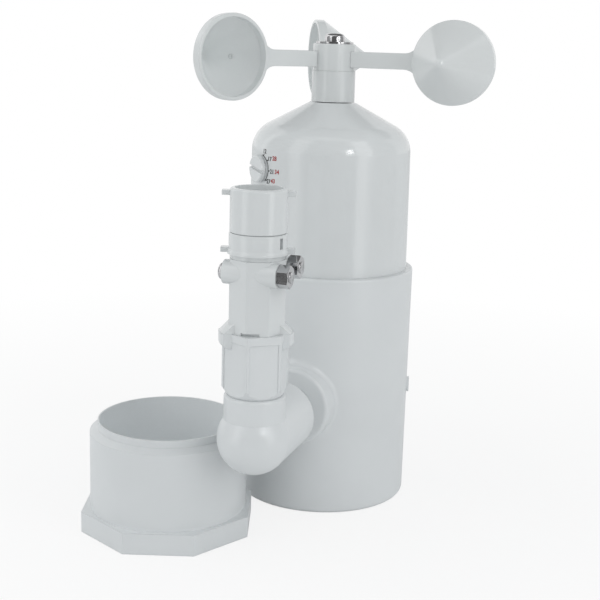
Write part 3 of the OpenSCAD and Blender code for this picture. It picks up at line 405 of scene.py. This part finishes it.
def add_piece(name, mesh, material, body=None, smooth=True):
    """A new piece of the object, attached to body when one is given."""
    piece = bpy.data.objects.new(name, mesh)
    bpy.context.scene.collection.objects.link(piece)
    if smooth:
        mesh.shade_smooth()
        mesh.set_sharp_from_angle(angle=SHARP_ANGLE)
    paint(piece, material)
    if body:
        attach(piece, body)
    return piece


def mesh_from(name, vertices, faces):
    """A mesh from its points in metres and its faces."""
    mesh = bpy.data.meshes.new(name)
    mesh.from_pydata(vertices, [], faces)
    mesh.update()
    return mesh


def ring_of_strips(name, rows):
    """A closed surface through rows of points, each row a loop round the piece's section."""
    count, width = len(rows), len(rows[0])
    vertices = [point * MM for row in rows for point in row]
    faces = []
    for i in range(count):
        for j in range(width):
            after, beside = (i + 1) % count, (j + 1) % width
            faces.append((i * width + j, after * width + j, after * width + beside, i * width + beside))
    mesh = mesh_from(name, vertices, faces)
    shape = bmesh.new()
    shape.from_mesh(mesh)
    bmesh.ops.recalc_face_normals(shape, faces=shape.faces)
    shape.to_mesh(mesh)
    shape.free()
    return mesh


def boss_fillet():
    """The rounded root where the side boss leaves the tee's barrel."""
    steps, arc_steps = 128, 10
    reach = BOSS_R + BOSS_FILLET
    shrink = TEE_R / (TEE_R + BOSS_FILLET)
    rows = []
    for i in range(steps):
        turn = 2 * math.pi * i / steps
        x = reach * math.cos(turn)
        y = -math.sqrt((TEE_R + BOSS_FILLET) ** 2 - x * x)
        centre = Vector((x, y, BRANCH_Z + reach * math.sin(turn)))
        on_boss = Vector((BOSS_R * math.cos(turn), centre.y, BRANCH_Z + BOSS_R * math.sin(turn)))
        on_tee = Vector((centre.x * shrink, centre.y * shrink, centre.z))
        first, last = (on_boss - centre).normalized(), (on_tee - centre).normalized()
        row = [centre + BOSS_FILLET * first.slerp(last, k / arc_steps) for k in range(arc_steps + 1)]
        back_z = BRANCH_Z + (on_boss.z - BRANCH_Z) * BOSS_BACK
        rows.append(row + [Vector((on_boss.x * BOSS_BACK, on_tee.y * TEE_BACK, back_z))])
    mesh = ring_of_strips("tee_boss_fillet", rows)
    add_piece("tee_boss_fillet", mesh, pvc_root, "base")


def tree_of(node):
    """A CAD node's faces, ready to be hit by rays."""
    mesh = frame["nodes"][node].data
    return BVHTree.FromPolygons([v.co for v in mesh.vertices], [p.vertices for p in mesh.polygons])


def on_bell(tree, across, up, lift):
    """The point beside the dial, across and up from its centre in mm, lifted off the bell by lift mm."""
    turn = DIAL_TURN + across / BELL_R
    outward = Vector((math.cos(turn), math.sin(turn), 0.0))
    start = outward * (2 * BELL_R * MM) + Vector((0, 0, (DIAL_Z + up) * MM))
    hit = tree.ray_cast(start, -outward)[0]
    return hit + outward * (lift * MM)


def stroke(points, width):
    """A ribbon along points, as (across, up) corners and faces."""
    corners, faces = [], []
    for i, point in enumerate(points):
        before, after = points[max(i - 1, 0)], points[min(i + 1, len(points) - 1)]
        along = (after - before).normalized()
        side = Vector((-along.y, along.x)) * width / 2
        corners += [point + side, point - side]
        if i:
            faces.append((2 * i - 2, 2 * i - 1, 2 * i + 1, 2 * i))
    return corners, faces


def polar(radius, degrees):
    """The (across, up) point at this radius and angle."""
    turn = math.radians(degrees)
    return Vector((radius * math.cos(turn), radius * math.sin(turn)))


def digits(number, centre):
    """A printed number, as (across, up) corners and faces."""
    curve = bpy.data.curves.new("digits", "FONT")
    curve.body = number
    curve.size = SCALE_DIGITS
    curve.offset = SCALE_WEIGHT
    curve.align_x = "CENTER"
    curve.align_y = "CENTER"
    shape = bpy.data.objects.new("digits", curve)
    bpy.context.scene.collection.objects.link(shape)
    bpy.context.view_layer.update()
    filled = shape.evaluated_get(bpy.context.evaluated_depsgraph_get())
    mesh = bpy.data.meshes.new_from_object(filled)
    corners = [Vector((v.co.x, v.co.y)) + centre for v in mesh.vertices]
    faces = [tuple(p.vertices) for p in mesh.polygons]
    bpy.data.objects.remove(shape)
    bpy.data.curves.remove(curve)
    bpy.data.meshes.remove(mesh)
    return corners, faces


def printed(name, parts, material):
    """Marks printed on the bell, from (across, up) corners and faces."""
    tree = tree_of("bell_housing")
    vertices, faces = [], []
    for corners, polygons in parts:
        start = len(vertices)
        vertices += [on_bell(tree, c.x, c.y, SCALE_INK) for c in corners]
        faces += [tuple(start + k for k in polygon) for polygon in polygons]
    marks = add_piece(name, mesh_from(name, vertices, faces), material, "base", smooth=False)
    film = marks.modifiers.new("film", "SOLIDIFY")
    film.thickness = 2 * SCALE_INK * MM
    film.offset = 0.0


def dial_scale():
    """The scale printed on the bell beside the dial: an arc with ticks, dark numbers and red ones."""
    arc = [polar(SCALE_R, SCALE_START + SCALE_STEP * k) for k in range(SCALE_POINTS)]
    dark = [stroke(arc, SCALE_LINE)]
    for degrees in SCALE_TICKS:
        tick = [polar(SCALE_R, degrees), polar(SCALE_R + SCALE_TICK, degrees)]
        dark.append(stroke(tick, SCALE_TICK_LINE))
    dark += [digits(number, Vector((across, up))) for number, across, up in DARK_NUMBERS]
    red = [digits(number, Vector((across, up))) for number, across, up in RED_NUMBERS]
    printed("dial_scale", dark, dark_ink)
    printed("dial_scale_red", red, red_ink)


def lathe(name, outline, place, steps=48):
    """A closed shape turned round Z, from (radius, height) points in mm that start and end on Z."""
    shape = bmesh.new()
    rows = []
    for radius, height in outline:
        turns = [2 * math.pi * i / steps for i in range(steps if radius else 1)]
        ring = [Vector((radius * math.cos(turn), radius * math.sin(turn), height)) for turn in turns]
        rows.append([shape.verts.new((place @ point) * MM) for point in ring])
    for low_row, high_row in zip(rows, rows[1:]):
        for i in range(steps):
            corners = [low_row[i % len(low_row)], low_row[(i + 1) % len(low_row)],
                       high_row[(i + 1) % len(high_row)], high_row[i % len(high_row)]]
            shape.faces.new(list(dict.fromkeys(corners)))
    bmesh.ops.recalc_face_normals(shape, faces=shape.faces)
    mesh = bpy.data.meshes.new(name)
    shape.to_mesh(mesh)
    shape.free()
    return mesh


def cup_gates():
    """The low ring that the moulding gate left on each cup's wall, in line with the arm."""
    outer, top, inner = (GATE_R - slope for slope in GATE_SLOPES)
    edge, middle = GATE_FLOOR
    outline = [(0.0, GATE_ROOT), (GATE_R, GATE_ROOT), (GATE_R, GATE_SHOULDER), (outer, GATE_RIM),
               (top, GATE_RIM), (inner, edge), (0.0, middle)]
    for number, turn in enumerate(CUP_TURNS, 1):
        tip = Matrix.Rotation(turn, 4, "Z") @ Matrix.Translation((CUP_REACH, -CUP_DEPTH, CUP_Z))
        on_wall = Matrix.Translation((-GATE_RISE * math.tan(CUP_SLOPE), GATE_RISE, 0.0))
        inward = Matrix.Rotation(CUP_SLOPE, 4, "Z") @ Matrix.Rotation(math.radians(90.0), 4, "Y")
        name = "cup_gate_%d" % number
        mesh = lathe(name, outline, tip @ on_wall @ inward)
        add_piece(name, mesh, finishes["rotor"], "rotor")


def bolt_threads():
    """The threads on the two bolt tips that stand out of the nuts."""
    start, end = BOLT_TIP
    edge, crown = THREAD_CROWN
    root = BOLT_R - THREAD_ROOT
    height = start - THREAD_SUNK
    outline = [(0.0, height)]
    while height < end - THREAD_PITCH:
        outline += [(root, height), (BOLT_R + THREAD_RIDGE, height + THREAD_PITCH / 2)]
        height += THREAD_PITCH
    outline += [(root, height), (BOLT_R - THREAD_CHAMFER, end + edge), (0.0, end + crown)]
    along_x = Matrix.Rotation(math.radians(90.0), 4, "Y")
    for number, (across, z) in enumerate(BOLT_PLACES, 1):
        place = Matrix.Translation((0.0, RAIN_Y + across, z)) @ along_x
        name = "bolt_thread_%d" % number
        add_piece(name, lathe(name, outline, place), finishes["chrome"], "base")


def coil_springs():
    """The two springs, copied from their CAD nodes, which are then hidden."""
    springs = (("governor_spring", "rotor", "collar"), ("rain_spring", "base", "plunger"))
    for node, seat, presser in springs:
        mesh = frame["nodes"][node].data.copy()
        coil = add_piece(node + "_coil", mesh, finishes["steel"], smooth=False)
        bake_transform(coil)
        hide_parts(node)


# Stage

def photo_camera():
    """The camera that took the photo, as a matrix in the part's frame."""
    def bearing(v):
        c, s = math.cos(CAMERA_BEARING), math.sin(CAMERA_BEARING)
        return Vector((v.x * c - v.y * s, v.x * s + v.y * c, v.z))

    level = math.cos(CAMERA_PITCH)
    aside, onward = math.sin(CAMERA_YAW), math.cos(CAMERA_YAW)
    ahead = Vector((aside * level, onward * level, -math.sin(CAMERA_PITCH)))
    right = Vector((onward, -aside, 0.0))
    up = right.cross(ahead)
    c, s = math.cos(CAMERA_ROLL), math.sin(CAMERA_ROLL)
    x_axis = bearing(c * right + s * up)
    y_axis = bearing(c * up - s * right)
    z_axis = bearing(-ahead)
    place = bearing(Vector((0.0, -CAMERA_DISTANCE, CAMERA_HEIGHT))) * MM
    return Matrix.Translation(place) @ Matrix((x_axis, y_axis, z_axis)).transposed().to_4x4()


def add_camera():
    """The camera, with the photo's lens."""
    data = bpy.data.cameras.new("photo_camera")
    data.sensor_width = SENSOR_WIDTH
    data.lens = SENSOR_WIDTH * CAMERA_FOCAL / PHOTO_PIXELS
    data.clip_start = CAMERA_NEAR
    camera = bpy.data.objects.new("photo_camera", data)
    bpy.context.scene.collection.objects.link(camera)
    camera.matrix_world = photo_camera()
    bpy.context.scene.camera = camera


def round_stage(bearing, distance, height):
    """A place round the stage; bearing is in degrees to the right of the camera."""
    turn = CAMERA_BEARING + math.radians(bearing - 90.0)
    return Vector((distance * math.cos(turn), distance * math.sin(turn), height))


def facing(place, target):
    """The rotation that turns a lamp or a card at place to the target."""
    return (place - target).to_track_quat("Z", "Y").to_euler()


def add_lamp(name, place, size, watts):
    """A soft box that faces the object."""
    data = bpy.data.lights.new(name, "AREA")
    data.shape = "RECTANGLE"
    data.size, data.size_y = size
    data.energy = watts
    lamp = bpy.data.objects.new(name, data)
    bpy.context.scene.collection.objects.link(lamp)
    lamp.location = place
    lamp.rotation_euler = facing(place, STAGE_MIDDLE)


def plate(name, x, y):
    """A flat rectangle, from half its width and half its height."""
    return mesh_from(name, [(-x, -y, 0), (x, -y, 0), (x, y, 0), (-x, y, 0)], [(0, 1, 2, 3)])


def add_card(name, place, size, glow):
    """A bright or grey card beside the stage that only reflections see."""
    card = bpy.data.objects.new(name, plate(name, size[0] / 2, size[1] / 2))
    bpy.context.scene.collection.objects.link(card)
    card.location = place
    card.rotation_euler = facing(place, Vector((0.0, 0.0, min(place.z, CARD_LEVEL))))
    s = Shader(name)
    light = s.add("ShaderNodeEmission")
    light.inputs["Color"].default_value = WHITE
    light.inputs["Strength"].default_value = glow
    s.link(light.outputs["Emission"], s.tree.nodes["Material Output"].inputs["Surface"])
    paint(card, s.material)
    card.visible_camera = False
    card.visible_diffuse = False
    card.visible_shadow = False
    card.visible_transmission = False


def add_world():
    """White to the camera and in reflections, an even fill light otherwise."""
    world = bpy.data.worlds.new("studio")
    bpy.context.scene.world = world
    world.use_nodes = True
    tree = world.node_tree
    tree.nodes.clear()
    path = tree.nodes.new("ShaderNodeLightPath")
    seen = tree.nodes.new("ShaderNodeMath")
    seen.operation = "MAXIMUM"
    tree.links.new(path.outputs["Is Camera Ray"], seen.inputs[0])
    tree.links.new(path.outputs["Is Glossy Ray"], seen.inputs[1])
    lit = tree.nodes.new("ShaderNodeBackground")
    lit.inputs["Color"].default_value = FILL_TONE
    lit.inputs["Strength"].default_value = FILL_LEVEL
    white = tree.nodes.new("ShaderNodeBackground")
    white.inputs["Color"].default_value = WHITE
    white.inputs["Strength"].default_value = 1.0
    choice = tree.nodes.new("ShaderNodeMixShader")
    tree.links.new(seen.outputs[0], choice.inputs[0])
    tree.links.new(lit.outputs[0], choice.inputs[1])
    tree.links.new(white.outputs[0], choice.inputs[2])
    output = tree.nodes.new("ShaderNodeOutputWorld")
    tree.links.new(choice.outputs[0], output.inputs["Surface"])


def add_floor():
    """A pale floor that keeps the shadow under the object and runs out to white behind it."""
    floor = bpy.data.objects.new("floor", plate("floor", FLOOR_HALF, FLOOR_HALF))
    bpy.context.scene.collection.objects.link(floor)
    floor.location.z = cad_low.z - FLOOR_GAP
    s = Shader("floor")
    s.surface.inputs["Roughness"].default_value = 0.9
    s.surface.inputs["Specular IOR Level"].default_value = 0.0
    paper = s.mix(s.spread(s.noise(9.0, 3.0), 0.3, 0.7, 0.0, 1.0), *FLOOR_TONES)
    s.link(paper, s.surface.inputs["Base Color"])
    away = s.add("ShaderNodeVectorMath")
    away.operation = "LENGTH"
    s.link(s.place, away.inputs[0])
    far = s.spread(away.outputs["Value"], *FLOOR_FADE, FLOOR_WHITE, 1.0)
    path = s.add("ShaderNodeLightPath")
    glow = s.add("ShaderNodeEmission")
    glow.inputs["Color"].default_value = WHITE
    glow.inputs["Strength"].default_value = 1.0
    both = s.add("ShaderNodeMixShader")
    s.link(s.multiply(path.outputs["Is Camera Ray"], far), both.inputs[0])
    s.link(s.surface.outputs["BSDF"], both.inputs[1])
    s.link(glow.outputs["Emission"], both.inputs[2])
    s.link(both.outputs[0], s.tree.nodes["Material Output"].inputs["Surface"])
    paint(floor, s.material)


def add_studio():
    """Soft light from both sides and from behind, and cards for the glossy faces to mirror."""
    add_world()
    for name, place, size, watts in LAMPS:
        add_lamp(name, round_stage(*place), size, watts)
    for name, place, size, glow in CARDS:
        add_card(name, round_stage(*place), size, glow)
    add_card("ceiling_card", CEILING_PLACE, CEILING_SIZE, CEILING_GLOW)
    add_floor()


bpy.context.scene.view_settings.view_transform = "Standard"
paint_cad_nodes()
boss_fillet()
dial_scale()
cup_gates()
bolt_threads()
coil_springs()
add_camera()
add_studio()
